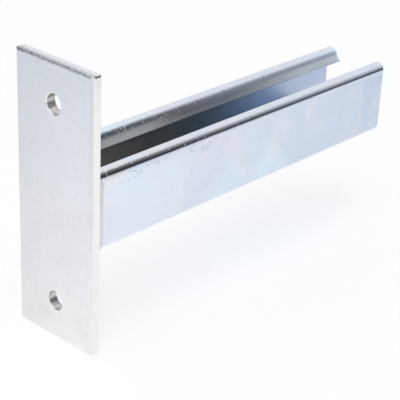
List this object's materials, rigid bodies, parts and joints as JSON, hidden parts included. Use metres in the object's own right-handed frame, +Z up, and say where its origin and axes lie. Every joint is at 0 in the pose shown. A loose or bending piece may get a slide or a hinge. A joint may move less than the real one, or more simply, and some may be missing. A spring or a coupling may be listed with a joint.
{
  "type": "cantilever strut arm",
  "caption": "Wall-mounted cantilever arm: lipped channel, open slot upwards, welded square to a flat back plate with bolt holes.",
  "frame": {"origin": "midway between the two bolt holes, on the plate face that goes against the wall", "axes": "+X out along the arm, +Y across the arm, +Z up towards the channel's open slot"},
  "size_m": [0.228, 0.0518, 0.1426],
  "materials": {
    "plate_steel": "bright zinc plate over sheared flat bar, satin",
    "channel_steel": "bright zinc plate with a clear blue passivate over rolled strip, satin",
    "weld_steel": "zinc plate over a rippled weld, dull"
  },
  "bodies": {
    "root": {"back_plate": "plate_steel", "channel": "channel_steel", "weld_bead": "weld_steel"}
  },
  "joints": []
}
